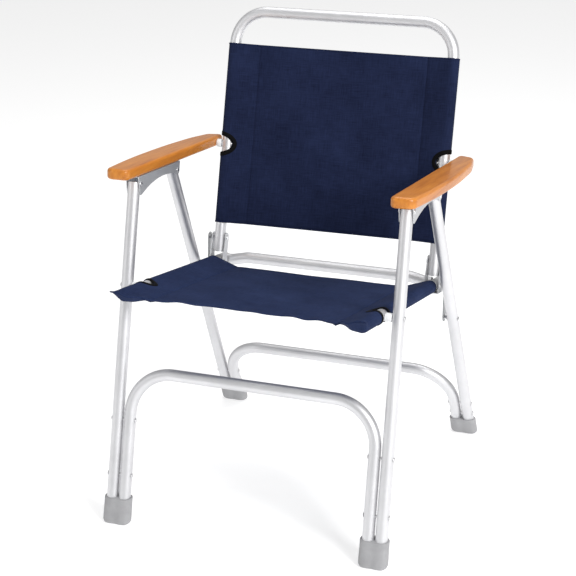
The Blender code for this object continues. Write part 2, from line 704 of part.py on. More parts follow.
    seat_edges = [Vector((0, y, rail_z(y))) for y in SEAT_SLING_Y]
    seat_cutout = Vector((0, SEAT_PIVOT.x, SEAT_PIVOT.y))
    add_sling(
        "seat_sling", "seat_fabric", seat_edges, rail_along, rail_up, RAIL_X, SEAT_SAG, seat_cutout, seat_axis
    )
    back_edges = [Vector((0, upright_y(z), z)) for z in BACK_SLING_Z]
    back_cutout = Vector((0, upright_y(BACK_BOLT.y), BACK_BOLT.y))
    add_sling(
        "back_sling", "back_fabric", back_edges, upright_along, upright_front, UPRIGHT_X, BACK_SAG, back_cutout, back_axis
    )
    bpy.context.view_layer.update()


build()
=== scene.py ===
"""The looks of a folding deck armchair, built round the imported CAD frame.

Units are metres. +Z is up, -Y is the way the chair faces and +X is the sitter's left.
"""

import math

import bmesh
import bpy
from mathutils import Matrix, Vector, noise


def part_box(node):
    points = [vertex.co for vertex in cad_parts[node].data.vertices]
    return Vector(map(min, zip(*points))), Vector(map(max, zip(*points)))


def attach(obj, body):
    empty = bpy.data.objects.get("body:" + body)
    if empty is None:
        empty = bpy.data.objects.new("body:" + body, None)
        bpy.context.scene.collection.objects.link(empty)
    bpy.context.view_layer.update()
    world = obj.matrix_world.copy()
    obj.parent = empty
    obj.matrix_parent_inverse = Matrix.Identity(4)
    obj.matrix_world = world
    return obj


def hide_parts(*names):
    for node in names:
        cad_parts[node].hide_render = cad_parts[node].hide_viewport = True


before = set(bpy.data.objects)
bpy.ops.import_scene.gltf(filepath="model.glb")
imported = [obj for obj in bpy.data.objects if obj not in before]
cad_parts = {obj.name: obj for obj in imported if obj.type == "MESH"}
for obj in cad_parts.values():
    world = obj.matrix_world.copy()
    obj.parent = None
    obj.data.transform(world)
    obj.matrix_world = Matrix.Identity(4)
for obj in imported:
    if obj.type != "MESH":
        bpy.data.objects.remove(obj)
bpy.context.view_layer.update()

X_AXIS = Vector((1, 0, 0))
SIDES = (("left", 1), ("right", -1))

# The camera, at the viewing angle of the reference view
VIEW_AZIMUTH = math.radians(21.18)
VIEW_ELEVATION = math.radians(20.70)
VIEW_ROLL = math.radians(-0.917)
VIEW_DISTANCE = 3.1663
VIEW_TARGET = Vector((0.01686, -0.08455, 0.42174))
VIEW_LENS = 108.2
SENSOR = 36.0

# Tubes, as in the CAD
TUBE_RADIUS = 0.0111
TUBE_WALL = 0.0013
TUBE_SIDES = 40
FOOT_Y = 0.295
FRONT_LEAN = 0.2581
REAR_LEAN = 0.461
LEG_X = 0.259
FRONT_SPLAY = 0.0034
REAR_SPLAY = 0.0081
BRACE_SPACING = 0.0244
BRACE_BEND = 0.080
FRONT_BRACE_Z = 0.280
REAR_BRACE_Z = 0.157
LEG_START_Z = 0.014
LEG_ABOVE_PIVOT = 0.003
SEAT_PIVOT = Vector((FRONT_LEAN * 0.430 - FOOT_Y, 0.430))
ARM_PIVOT = Vector((FRONT_LEAN * 0.611 - FOOT_Y, 0.611))
BACK_BOLT = Vector((0.212, 0.594))
BACK_PIVOT = BACK_BOLT + SEAT_PIVOT - ARM_PIVOT
REAR_LEG_PIVOT = Vector((FOOT_Y - REAR_LEAN * 0.592, 0.592))
LINK_PIVOT = Vector((FOOT_Y - REAR_LEAN * 0.304, 0.304))

# Seat and back frames
RAIL_X = 0.2246
RAIL_SLOPE = -0.185
RAIL_FRONT_Y = -0.266
RAIL_REAR_Y = 0.190
CROSS_TUBE_Y = 0.1775
CROSS_END_X = 0.203
CROSS_ARCH_X = 0.170
CROSS_RISE = 0.0075
CROSS_BEND = 0.030
UPRIGHT_X = 0.223
UPRIGHT_SLOPE = 0.2885
UPRIGHT_BOTTOM_Z = 0.386
BACK_TOP_Z = 0.846
BACK_BEND = 0.064
PIVOT_SETBACK = 0.003

# Cloth
CLOTH_THICKNESS = 0.0011
SLEEVE_RADIUS = TUBE_RADIUS + 0.0009
SEAM_INSET = 0.051
SEAM_DEPTH = -0.0045
FLAP_END = 0.006
BACK_CUTOUT = (0.033, 0.0165)
SEAT_CUTOUT = (0.036, 0.0150)
BLOCK_U = 0.048
BLOCK_V = 0.029
TAPE_WIDTH = 0.0090
TAPE_THICKNESS = 0.0030
HEM_WIDTH = 0.013
HEM_RADIUS = 0.0014
BACK_CLOTH_Z = (0.4455, 0.7835)
SEAT_CLOTH_Y = (-0.296, 0.128)
BACK_EDGE_TILT = 0.0085
SEAT_SAG = 0.0085
SEAT_EDGE_HOLLOW = 0.078
SEAT_PINCH_LENGTH = 0.027
EAR_FROM = 0.185
EAR_SPAN = 0.055
EAR_REACH = (0.017, -0.006)
EAR_LIFT = (0.0140, 0.0070)
EAR_SPREAD = 0.45
STITCH_PITCH = 0.0042
STITCH_LENGTH = 0.0029
STITCH_RADIUS = 0.00045
SEAM_GROOVE = 0.0013
SLUB_SHARE = 0.5
WEAVE_SPACING = 0.0013

# Armrests and brackets
ARM_INNER_X = 0.244
ARM_WIDTH = 0.0535
ARM_FRONT_WIDTH = 0.0445
ARM_THICKNESS = 0.020
ARM_SLOPE = -0.1122
ARM_FRONT = Vector((-0.195, 0.6326))
ARM_LENGTH = 0.439
ARM_WAIST_X = 0.0450
ARM_TAIL_X = 0.0330
ARM_TAIL_LENGTH = 0.430
ARM_CORNER = 0.012
ARM_EDGE = 0.0062
ARM_LOW_EDGE = 0.0052
BRACKET_X = (0.2454, 0.2726)
BRACKET_WALL = 0.002
BRACKET_Y = (-0.1455, 0.0350)
BRACKET_TIP_Z = 0.590
BRACKET_ARCH_Z = 0.6005
BRACKET_LOBE = 0.0095
CLEVIS_X = (0.2086, 0.2386)
CLEVIS_Y = (0.133, 0.163)
CLEVIS_WALL = 0.0024
CLEVIS_LOBE = 0.0095
LINK_X = (0.2445, 0.2470)
LINK_RADIUS = 0.0085

FOOT_RADIUS = 0.015
FOOT_ROUND = 0.008
FRONT_FOOT_HEIGHT = 0.048
REAR_FOOT_HEIGHT = 0.039


def front_y(z):
    return FRONT_LEAN * z - FOOT_Y


def rear_y(z):
    return FOOT_Y - REAR_LEAN * z


def front_leg_x(z):
    return LEG_X + FRONT_SPLAY * (1 - z / ARM_PIVOT.y)


def rear_leg_x(z):
    return LEG_X + REAR_SPLAY * (1 - z / REAR_LEG_PIVOT.y)


def rail_z(y):
    return SEAT_PIVOT.y + RAIL_SLOPE * (y - SEAT_PIVOT.x)


def upright_y(z):
    return BACK_BOLT.x + PIVOT_SETBACK + UPRIGHT_SLOPE * (z - BACK_BOLT.y)


def arm_under_z(y):
    return ARM_FRONT.y + ARM_SLOPE * (y - ARM_FRONT.x)


# ---------------------------------------------------------------- materials


class Shader:
    """A Principled material with the few node patterns that the pieces share."""

    def __init__(self, name, roughness, metallic=0.0):
        self.made = bpy.data.materials.new(name)
        self.made.use_nodes = True
        self.tree = self.made.node_tree
        self.principled = self.tree.nodes["Principled BSDF"]
        self.principled.inputs["Roughness"].default_value = roughness
        self.principled.inputs["Metallic"].default_value = metallic

    def node(self, kind, **inputs):
        made = self.tree.nodes.new(kind)
        for name, value in inputs.items():
            made.inputs[name.replace("_", " ")].default_value = value
        return made

    def link(self, start, end):
        self.tree.links.new(start, end)

    def place(self, scale, source="Object"):
        """Texture coordinates in metres, stretched by a scale along each axis."""
        coordinates = self.node("ShaderNodeTexCoord")
        mapping = self.node("ShaderNodeMapping")
        mapping.inputs["Scale"].default_value = scale
        self.link(coordinates.outputs[source], mapping.inputs["Vector"])
        return mapping.outputs["Vector"]

    def noise(self, vector, scale=1.0, detail=4.0, rough=0.5):
        made = self.node("ShaderNodeTexNoise", Scale=scale, Detail=detail, Roughness=rough)
        self.link(vector, made.inputs["Vector"])
        return made.outputs["Fac"]

    def ramp(self, factor, *stops):
        made = self.node("ShaderNodeValToRGB")
        ramp = made.color_ramp
        for index, (position, colour) in enumerate(stops):
            stop = ramp.elements[index] if index < 2 else ramp.elements.new(position)
            stop.position = position
            stop.color = (*colour, 1.0)
        self.link(factor, made.inputs["Fac"])
        return made.outputs["Color"]

    def span(self, factor, low, high):
        made = self.node("ShaderNodeMapRange", To_Min=low, To_Max=high)
        self.link(factor, made.inputs["Value"])
        return made.outputs["Result"]

    def bump(self, height, strength, distance):
        made = self.node("ShaderNodeBump", Strength=strength, Distance=distance)
        self.link(height, made.inputs["Height"])
        self.link(made.outputs["Normal"], self.principled.inputs["Normal"])

    def colour(self, output):
        self.link(output, self.principled.inputs["Base Color"])

    def roughness(self, output):
        self.link(output, self.principled.inputs["Roughness"])

    def set(self, **values):
        for name, value in values.items():
            self.principled.inputs[name.replace("_", " ")].default_value = value


def aluminium(name, light, dark, rough, grain, metallic=1.0):
    """Satin anodised metal: fine grain and faint cloudy staining."""
    made = Shader(name, rough, metallic)
    cloud = made.noise(made.place((9, 9, 9)), detail=6.0, rough=0.6)
    made.colour(made.ramp(cloud, (0.35, dark), (0.62, light)))
    fine = made.noise(made.place(grain), detail=3.0, rough=0.6)
    made.roughness(made.span(fine, rough - 0.07, rough + 0.09))
    made.bump(fine, 0.05, 0.0003)
    return made.made


def moulded(name, light, dark, rough, bump):
    """Moulded plastic or rubber with a fine matte skin."""
    made = Shader(name, rough)
    cloud = made.noise(made.place((45, 45, 45)), detail=5.0, rough=0.6)
    made.colour(made.ramp(cloud, (0.3, dark), (0.7, light)))
    skin = made.noise(made.place((1600, 1600, 1600)), detail=2.0)
    made.roughness(made.span(cloud, rough - 0.08, rough + 0.10))
    made.bump(skin, bump, 0.0002)
    return made.made


def varnished_wood(name):
    """Orange-brown hardwood with grain along the armrest, under a clear varnish."""
    made = Shader(name, 0.38)
    warp = made.noise(made.place((14, 2.5, 14)), detail=3.0)
    bands = made.noise(made.place((170, 5, 120)), detail=4.0, rough=0.6)
    pores = made.noise(made.place((1500, 30, 1500)), detail=3.0, rough=0.7)
    mix = made.node("ShaderNodeMix", Factor=0.45)
    mix.data_type = "FLOAT"
    made.link(bands, mix.inputs["A"])
    made.link(warp, mix.inputs["B"])
    grain = made.ramp(
        mix.outputs["Result"],
        (0.30, (0.370, 0.115, 0.013)),
        (0.70, (0.690, 0.278, 0.040)),
        (0.50, (0.560, 0.200, 0.028)),
    )
    streaks = made.node("ShaderNodeMix")
    streaks.data_type = "RGBA"
    streaks.blend_type = "MULTIPLY"
    made.link(made.span(pores, 0.0, 0.30), streaks.inputs["Factor"])
    made.link(grain, streaks.inputs["A"])
    streaks.inputs["B"].default_value = (0.62, 0.42, 0.28, 1.0)
    made.colour(streaks.outputs["Result"])
    made.bump(pores, 0.10, 0.0002)
    made.set(Coat_Weight=0.30, Coat_Roughness=0.12, Coat_IOR=1.45, Specular_IOR_Level=0.30)
    return made.made


def woven(name, light, dark):
    """A plain weave on UVs in metres: warp and weft cross at the thread spacing."""
    made = Shader(name, 0.88)
    waves = []
    for direction in ("X", "Y"):
        wave = made.node("ShaderNodeTexWave", Scale=1.0, Distortion=0.35, Detail=1.0)
        wave.bands_direction = direction
        wave.wave_profile = "SIN"
        scale = 0.5 / WEAVE_SPACING * math.pi / 10
        made.link(made.place((scale, scale, scale), "UV"), wave.inputs["Vector"])
        waves.append(wave.outputs["Fac"])
    weave = made.node("ShaderNodeMath")
    weave.operation = "MULTIPLY"
    made.link(waves[0], weave.inputs[0])
    made.link(waves[1], weave.inputs[1])
    threads = []
    for scale in ((620, 34, 1), (34, 620, 1)):
        threads.append(made.noise(made.place(scale, "UV"), detail=3.0, rough=0.6))
    slubs = made.node("ShaderNodeMath")
    slubs.operation = "ADD"
    made.link(threads[0], slubs.inputs[0])
    made.link(threads[1], slubs.inputs[1])
    cloud = made.noise(made.place((9, 9, 1), "UV"), detail=6.0, rough=0.65)
    tone = made.node("ShaderNodeMath")
    tone.operation = "MULTIPLY_ADD"
    made.link(slubs.outputs["Value"], tone.inputs[0])
    tone.inputs[1].default_value = SLUB_SHARE
    made.link(made.span(cloud, -0.35, 0.35), tone.inputs[2])
    made.colour(made.ramp(tone.outputs["Value"], (0.15, dark), (0.85, light)))
    made.bump(weave.outputs["Value"], 0.35, 0.0005)
    made.set(Specular_IOR_Level=0.10)
    return made.made


def corded(name, colour, dark, gloss):
    """Binding tape and thread: a tight rib across the tape."""
    made = Shader(name, 0.8)
    rib = made.node("ShaderNodeTexWave", Scale=1.0, Distortion=0.4)
    made.link(made.place((260, 260, 260)), rib.inputs["Vector"])
    made.colour(made.ramp(rib.outputs["Fac"], (0.1, dark), (0.9, colour)))
    made.bump(rib.outputs["Fac"], 0.3, 0.0003)
    made.set(Specular_IOR_Level=gloss)
    return made.made


TUBE = aluminium("satin_tube", (0.75, 0.75, 0.765), (0.67, 0.67, 0.685), 0.47, (420, 420, 60), 0.88)
SHEET_METAL = aluminium(
    "sheet_bracket", (0.64, 0.65, 0.67), (0.54, 0.55, 0.57), 0.50, (350, 350, 350), 0.75
)
LINK_METAL = aluminium("link_steel", (0.44, 0.45, 0.46), (0.32, 0.33, 0.34), 0.44, (350, 350, 350))
RIVET_METAL = aluminium(
    "bright_rivet", (0.78, 0.78, 0.79), (0.66, 0.66, 0.67), 0.30, (900, 900, 900)
)
NYLON = moulded("white_nylon", (0.86, 0.87, 0.88), (0.80, 0.81, 0.82), 0.42, 0.05)
RUBBER = moulded("grey_rubber", (0.37, 0.37, 0.38), (0.31, 0.31, 0.32), 0.62, 0.25)
WOOD = varnished_wood("varnished_wood")
# The back and seat are the same navy cloth. The seat's copy is painted lighter than the back's, so
# the difference in light between seat and back is painted into its colour.
BACK_CLOTH = woven("back_cloth", (0.0180, 0.0275, 0.0770), (0.0022, 0.0040, 0.0160))
SEAT_CLOTH_PAINTED_LIGHTER = woven("seat_cloth_painted_lighter", (0.0245, 0.0400, 0.1080), (0.0050, 0.0095, 0.0340))
TAPE = corded("black_tape", (0.0035, 0.0035, 0.0040), (0.0012, 0.0012, 0.0015), 0.10)
THREAD = corded("navy_thread", (0.034, 0.043, 0.095), (0.015, 0.019, 0.048), 0.20)


# ---------------------------------------------------------------- mesh tools


def add_object(name, bm, material, body, replaced=(), smooth=40, tidy=True):
    if tidy:
        bmesh.ops.recalc_face_normals(bm, faces=bm.faces)
    mesh = bpy.data.meshes.new(name)
    bm.to_mesh(mesh)
    bm.free()
    mesh.shade_smooth()
    mesh.set_sharp_from_angle(angle=math.radians(smooth))
    mesh.materials.append(material)
    made = bpy.data.objects.new(name, mesh)
    bpy.context.scene.collection.objects.link(made)
    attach(made, body)
    if replaced:
        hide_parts(*replaced)
    return made


def apply_modifiers(made):
    bpy.context.view_layer.update()
    graph = bpy.context.evaluated_depsgraph_get()
    mesh = bpy.data.meshes.new_from_object(made.evaluated_get(graph))
    made.modifiers.clear()
    made.data = mesh


def round_edges(made, width, segments=3, angle=35):
    bevel = made.modifiers.new("rounded edges", "BEVEL")
    bevel.width = width
    bevel.segments = segments
    bevel.limit_method = "ANGLE"
    bevel.angle_limit = math.radians(angle)
    bevel.harden_normals = True
    apply_modifiers(made)


def ring_faces(bm, rings, turn=1):
    for low, high in zip(rings, rings[1:]):
        count = len(low)
        for index in range(count):
            after = (index + 1) % count
            bm.faces.new((low[index], low[after], high[after], high[index])[::turn])


def add_loft(bm, rings):
    made = [[bm.verts.new(point) for point in ring] for ring in rings]
    ring_faces(bm, made)
    bm.faces.new(made[0][::-1])
    bm.faces.new(made[-1])


def loft(rings):
    bm = bmesh.new()
    add_loft(bm, rings)
    return bm


def circle(centre, across, up, radius, sides):
    points = []
    for index in range(sides):
        angle = 2 * math.pi * index / sides
        points.append(centre + radius * (math.cos(angle) * across + math.sin(angle) * up))
    return points


def bent_path(corners, radius, steps=18):
    path = [corners[0]]
    for before, corner, after in zip(corners, corners[1:], corners[2:]):
        incoming = (corner - before).normalized()
        outgoing = (after - corner).normalized()
        turn = incoming.angle(outgoing)
        start = corner - radius * math.tan(turn / 2) * incoming
        inward = (outgoing - incoming * incoming.dot(outgoing)).normalized()
        for step in range(steps + 1):
            angle = turn * step / steps
            turned_by = math.sin(angle) * incoming + (1 - math.cos(angle)) * inward
            path.append(start + radius * turned_by)
    path.append(corners[-1])
    return path


def sweep_rings(path, normal, radius, sides):
    rings = []
    for index, point in enumerate(path):
        before = path[max(index - 1, 0)]
        after = path[min(index + 1, len(path) - 1)]
        tangent = ((point - before).normalized() + (after - point).normalized()).normalized()
        rings.append(circle(point, normal, tangent.cross(normal).normalized(), radius, sides))
    return rings


def tube_mesh(path, normal):
    """A hollow tube with flat cut ends."""
    bm = bmesh.new()
    outer, inner = (
        [[bm.verts.new(p) for p in ring] for ring in sweep_rings(path, normal, radius, TUBE_SIDES)]
        for radius in (TUBE_RADIUS, TUBE_RADIUS - TUBE_WALL)
    )
    ring_faces(bm, outer)
    ring_faces(bm, inner, -1)
    ring_faces(bm, [inner[0], outer[0]])
    ring_faces(bm, [outer[-1], inner[-1]])
    return bm


def turned(profile, centre, sides=28):
    """A solid turned about a line along X, from (x, radius) pairs."""
    back, up = Vector((0, 1, 0)), Vector((0, 0, 1))
    return loft([circle(centre + X_AXIS * x, back, up, radius, sides) for x, radius in profile])


def arc(centre, radius, start_deg, end_deg, steps=16):
    points = []
    for step in range(steps + 1):
        angle = math.radians(start_deg + (end_deg - start_deg) * step / steps)
        points.append((centre.x + radius * math.cos(angle), centre.y + radius * math.sin(angle)))
    return points


def add_plate(bm, outline, low_x, high_x):
    add_loft(bm, [[Vector((x, y, z)) for y, z in outline] for x in sorted((low_x, high_x))])


# ---------------------------------------------------------------- tubes


def make_leg_frame(name, body, line_y, line_x, top, brace_z):
    along = Vector((0, top.x - line_y(0), top.y)).normalized()
    normal = X_AXIS.cross(along)
    top_z = top.y + LEG_ABOVE_PIVOT * along.z
    for side, sign in SIDES:
        ends = [Vector((sign * line_x(z), line_y(z), z)) for z in (LEG_START_Z, top_z)]
        leg = tube_mesh(ends, normal)
        add_object(f"{name}_leg_tube_{side}", leg, TUBE, body, [f"{name}_leg_{side}"])
    corners = []
    for sign, z in ((1, LEG_START_Z), (1, brace_z), (-1, brace_z), (-1, LEG_START_Z)):
        corners.append(Vector((sign * (line_x(z) - BRACE_SPACING), line_y(z), z)))
    mesh = tube_mesh(bent_path(corners, BRACE_BEND), normal)
    add_object(f"{name}_brace_tube", mesh, TUBE, body, [f"{name}_brace"])


def make_tubes():
    make_leg_frame("front", "front_frame", front_y, front_leg_x, ARM_PIVOT, FRONT_BRACE_Z)
    make_leg_frame("rear", "rear_legs", rear_y, rear_leg_x, REAR_LEG_PIVOT, REAR_BRACE_Z)
    rail_up = X_AXIS.cross(Vector((0, 1, RAIL_SLOPE)).normalized())
    for side, sign in SIDES:
        ends = [Vector((sign * RAIL_X, y, rail_z(y))) for y in (RAIL_FRONT_Y, RAIL_REAR_Y)]
        rail = tube_mesh(ends, rail_up)
        add_object(f"seat_rail_tube_{side}", rail, TUBE, "seat", [f"seat_rail_{side}"])
    reach = RAIL_X - TUBE_RADIUS
    corners = []
    for sign in (-1, 1):
        half = [(reach, 0), (CROSS_END_X, 0), (CROSS_ARCH_X, CROSS_RISE)]
        for x, rise in half if sign < 0 else reversed(half):
            corners.append(Vector((sign * x, CROSS_TUBE_Y, rail_z(CROSS_TUBE_Y) + rise)))
    mesh = tube_mesh(bent_path(corners, CROSS_BEND), Vector((0, 1, 0)))
    add_object("seat_cross_bar", mesh, TUBE, "seat", ["seat_cross_tube"])
    corners = []
    low, high = UPRIGHT_BOTTOM_Z, BACK_TOP_Z
    for sign, z in ((1, low), (1, high), (-1, high), (-1, low)):
        corners.append(Vector((sign * UPRIGHT_X, upright_y(z), z)))
    normal = X_AXIS.cross(Vector((0, UPRIGHT_SLOPE, 1)).normalized())
    mesh = tube_mesh(bent_path(corners, BACK_BEND), normal)
    add_object("back_hoop", mesh, TUBE, "back", ["back_frame"])


# ---------------------------------------------------------------- feet and small hardware


def foot_outline(centre_x, centre_y, z, radius, pinch, sides=56):
    """Two half circles joined by sides that are drawn in a little between the two tubes."""
    points = []
    half = BRACE_SPACING / 2
    for index in range(sides):
        angle = 2 * math.pi * (index + 0.5) / sides
        spread = max(-1.0, min(1.0, 1.7 * math.cos(angle)))
        x = half * spread + radius * math.cos(angle) * (1 - 0.12 * (1 - abs(spread)))
        narrow = 1 - pinch * math.exp(-((x / 0.0065) ** 2))
        y = radius * min(1.0, abs(math.sin(angle)) * 1.06) * narrow
        points.append(Vector((centre_x + x, centre_y + math.copysign(y, math.sin(angle)), z)))
    return points


def make_foot(name, body, sign, line_y, line_x, height):
    levels = []
    for step in range(9):
        angle = math.pi / 2 * step / 8
        levels.append((FOOT_ROUND * (1 - math.cos(angle)), 1 - 0.42 * (1 - math.sin(angle)), 0.10))
    levels += [
        (0.30 * height, 1.0, 0.09),
        (0.60 * height, 0.98, 0.09),
        (0.88 * height, 0.975, 0.10),
        (height - 0.0014, 0.985, 0.10),
        (height - 0.0004, 0.965, 0.10),
        (height, 0.92, 0.10),
    ]
    rings = []
    for z, swell, pinch in levels:
        x = sign * (line_x(z) - BRACE_SPACING / 2)
        rings.append(foot_outline(x, line_y(z), z, FOOT_RADIUS * swell, pinch))
    add_object(f"{name}_cap", loft(rings), RUBBER, body, [name], smooth=50)


def dome(at_x, away, radius, height, steps=5):
    """The profile of a domed head that starts at its flat side."""
    profile = []
    for step in range(steps + 1):
        angle = math.pi / 2 * step / steps
        across = max(radius * math.cos(angle), 0.0002)
        profile.append((at_x + away * height * math.sin(angle), across))
    return profile


def make_rivet(name, body):
    """A rivet with two domed heads and a shank, as long as its CAD node."""
    low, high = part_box(name)
    centre = Vector((0, (low.y + high.y) / 2, (low.z + high.z) / 2))
    radius = (high.z - low.z) / 2
    thick = 0.0017
    shank = radius * 0.54
    profile = list(reversed(dome(low.x + thick, -1, radius, thick)))
    profile += [(low.x + thick, shank), (high.x - thick, shank)]
    profile += dome(high.x - thick, 1, radius, thick)
    made = turned(profile, centre)
    add_object(f"{name}_domed", made, RIVET_METAL, body, [name], smooth=60)


def make_bolt(name, body, sign, head):
    """A bolt with one domed head on its inner or outer end."""
    low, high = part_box(name)
    centre = Vector((0, (low.y + high.y) / 2, (low.z + high.z) / 2))
    radius = (high.z - low.z) / 2
    head_x, tip_x = (low.x, high.x) if sign * head < 0 else (high.x, low.x)
    away = 1 if head_x > tip_x else -1
    thick = 0.0021
    profile = list(reversed(dome(head_x - away * thick, away, radius, thick)))
    profile += [(head_x - away * thick, radius * 0.55), (tip_x, radius * 0.55)]
    made = turned(profile, centre)
    add_object(f"{name}_domed", made, RIVET_METAL, body, [name], smooth=60)


def make_spacer(name, body):
    """A white nylon spacer with softened rims."""
    low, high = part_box(name)
    centre = Vector((0, (low.y + high.y) / 2, (low.z + high.z) / 2))
    radius = (high.z - low.z) / 2
    soft = 0.0011
    profile = [
        (low.x, radius * 0.5),
        (low.x, radius - soft),
        (low.x + 0.35 * soft, radius - 0.3 * soft),
        (low.x + soft, radius),
        (high.x - soft, radius),
        (high.x - 0.35 * soft, radius - 0.3 * soft),
        (high.x, radius - soft),
        (high.x, radius * 0.5),
    ]
    made = turned(profile, centre, 36)
    add_object(f"{name}_turned", made, NYLON, body, [name], smooth=45)


def make_plug(name, sign, end):
    """A domed push-in plug with a rim, in the end of a seat rail."""
    along = Vector((0, 1, RAIL_SLOPE)).normalized() * end
    y = RAIL_FRONT_Y if end < 0 else RAIL_REAR_Y
    start = Vector((sign * RAIL_X, y, rail_z(y)))
    up = X_AXIS.cross(along)
    bore = TUBE_RADIUS - TUBE_WALL - 0.0002
    profile = ((-0.007, bore), (0.0003, bore), (0.0003, TUBE_RADIUS), (0.0012, TUBE_RADIUS))
    for out, share in ((0.0022, 0.93), (0.0028, 0.78), (0.0032, 0.5)):
        profile += ((out, TUBE_RADIUS * share),)
    profile += ((0.0033, TUBE_RADIUS * 0.1),)
    rings = [circle(start + along * reach, X_AXIS, up, radius, 36) for reach, radius in profile]
    add_object(f"{name}_domed", loft(rings), NYLON, "seat", [name], smooth=50)


def bracket_outline():
    front, rear = BRACKET_Y
    top_front = (front, arm_under_z(front) - 0.0003)
    top_rear = (rear, arm_under_z(rear) - 0.0003)
    lobe = arc(REAR_LEG_PIVOT, BRACKET_LOBE, 0, -150, 18)
    tip = (front + 0.010, BRACKET_TIP_Z)
    start_y, start_z = lobe[-1]
    rise = BRACKET_ARCH_Z - (start_z + tip[1]) / 2
    arch = []
    for step in range(1, 28):
        share = step / 28
        base_z = start_z + (tip[1] - start_z) * share
        arch.append((start_y + (tip[0] - start_y) * share, base_z + rise * 4 * share * (1 - share)))
    nose = arc(Vector((front + 0.007, BRACKET_TIP_Z + 0.0035)), 0.0035, -75, -175, 6)
    return [top_front, top_rear] + lobe + arch + nose


def make_bracket(side, sign):
    """The channel under an armrest, as two side walls and a web folded from one sheet."""
    low, high = BRACKET_X
    bm = bmesh.new()
    outline = bracket_outline()
    add_plate(bm, outline, sign * low, sign * (low + BRACKET_WALL))
    add_plate(bm, outline, sign * high, sign * (high - BRACKET_WALL))
    front, rear = BRACKET_Y
    web = [
        (front, arm_under_z(front) - 0.0004),
        (rear, arm_under_z(rear) - 0.0004),
        (rear, arm_under_z(rear) - BRACKET_WALL),
        (front, arm_under_z(front) - BRACKET_WALL),
    ]
    add_plate(bm, web, sign * (low + 0.0005), sign * (high - 0.0005))
    made = add_object(
        f"arm_bracket_sheet_{side}",
        bm,
        SHEET_METAL,
        f"arm_{side}",
        [f"arm_bracket_{side}"],
    )
    round_edges(made, 0.0005, 2)


def make_clevis(side, sign):
    """The U plate round the rear of a seat rail, with two ears for the back's pivot."""
    low, high = CLEVIS_X
    front, rear = CLEVIS_Y
    under = TUBE_RADIUS + 0.0003 + CLEVIS_WALL
    lobe = arc(BACK_PIVOT, CLEVIS_LOBE, -20, 200, 22)
    outline = [
        (front, rail_z(front) - under),
        (rear, rail_z(rear) - under),
        (rear, rail_z(rear) + TUBE_RADIUS + 0.002),
    ] + lobe
    bm = bmesh.new()
    add_plate(bm, outline, sign * low, sign * (low + CLEVIS_WALL))
    add_plate(bm, outline, sign * high, sign * (high - CLEVIS_WALL))
    base = [
        (front, rail_z(front) - under),
        (rear, rail_z(rear) - under),
        (rear, rail_z(rear) - under + CLEVIS_WALL),
        (front, rail_z(front) - under + CLEVIS_WALL),
    ]
    add_plate(bm, base, sign * (low + 0.0005), sign * (high - 0.0005))
    name, node = f"seat_clevis_plate_{side}", f"seat_clevis_{side}"
    made = add_object(name, bm, SHEET_METAL, "seat", [node])
    round_edges(made, 0.0006, 2)


def make_link(side, sign):
    direction = BACK_PIVOT - LINK_PIVOT
    heading = math.degrees(math.atan2(direction.y, direction.x))
    outline = arc(BACK_PIVOT, LINK_RADIUS, heading - 90, heading + 90)
    outline += arc(LINK_PIVOT, LINK_RADIUS, heading + 90, heading + 270)
    low, high = LINK_X
    bm = bmesh.new()
    add_plate(bm, outline, sign * low, sign * high)
    centre = Vector((0, BACK_PIVOT.x, BACK_PIVOT.y))
    stub = dome(sign * (low - 0.0015), -sign, 0.0046, 0.0018) + [(sign * (low + 0.0005), 0.0046)]
    stub = [(sign * (low + 0.0005), 0.0046)] + stub[:-1]
    back, up = Vector((0, 1, 0)), Vector((0, 0, 1))
    add_loft(bm, [circle(centre + X_AXIS * x, back, up, radius, 28) for x, radius in stub])
    node = f"link_{side}"
    made = add_object(f"link_bar_{side}", bm, LINK_METAL, node, [node])
    round_edges(made, 0.0005, 2, 50)


def make_hardware():
    for side, sign in SIDES:
        arm_body = f"arm_{side}"
        name = f"front_foot_{side}"
        make_foot(name, "front_frame", sign, front_y, front_leg_x, FRONT_FOOT_HEIGHT)
        make_foot(f"rear_foot_{side}", "rear_legs", sign, rear_y, rear_leg_x, REAR_FOOT_HEIGHT)
        for label in ("upper", "lower"):
            make_rivet(f"front_rivet_{label}_{side}", "front_frame")
            make_rivet(f"rear_rivet_{label}_{side}", "rear_legs")
        make_rivet(f"seat_rivet_{side}", "front_frame")
        make_rivet(f"clevis_rivet_{side}", "seat")
        make_rivet(f"back_rivet_{side}", "seat")
        make_rivet(f"arm_rivet_front_{side}", arm_body)
        make_rivet(f"arm_rivet_rear_{side}", arm_body)
        make_bolt(f"seat_corner_bolt_{side}", "seat", sign, 1)
        make_bolt(f"back_bolt_{side}", arm_body, sign, -1)
        make_spacer(f"seat_spacer_{side}", "front_frame")
        make_spacer(f"back_spacer_{side}", arm_body)
        make_plug(f"seat_plug_front_{side}", sign, -1)
        make_plug(f"seat_plug_rear_{side}", sign, 1)
        make_bracket(side, sign)
        make_clevis(side, sign)
        make_link(side, sign)
        for kept in (f"link_rivet_{side}", f"arm_screw_front_{side}", f"arm_screw_rear_{side}"):
            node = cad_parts[kept]
            node.data.materials.clear()
            node.data.materials.append(RIVET_METAL)


# ---------------------------------------------------------------- armrests


def arm_plan():
    """The outline of the left armrest from above, as (x, distance from its front end)."""
    corners = (
        ((0, 0), ARM_CORNER),
        ((ARM_FRONT_WIDTH, 0), ARM_CORNER + 0.004),
        ((ARM_WIDTH, 0.110), 1.500),
        ((ARM_WIDTH, 0.260), 1.500),
        ((ARM_WAIST_X, 0.372), 0.250),
        ((ARM_TAIL_X, ARM_TAIL_LENGTH), 0.018),
        ((0, ARM_LENGTH + 0.004), 0.0085),
    )
    points = []
    count = len(corners)
    for index, (corner, radius) in enumerate(corners):
        before = Vector((*corners[index - 1][0], 0))
        after = Vector((*corners[(index + 1) % count][0], 0))
        points += bent_path([before, Vector((*corner, 0)), after], radius, 12)[1:-1]
    return points


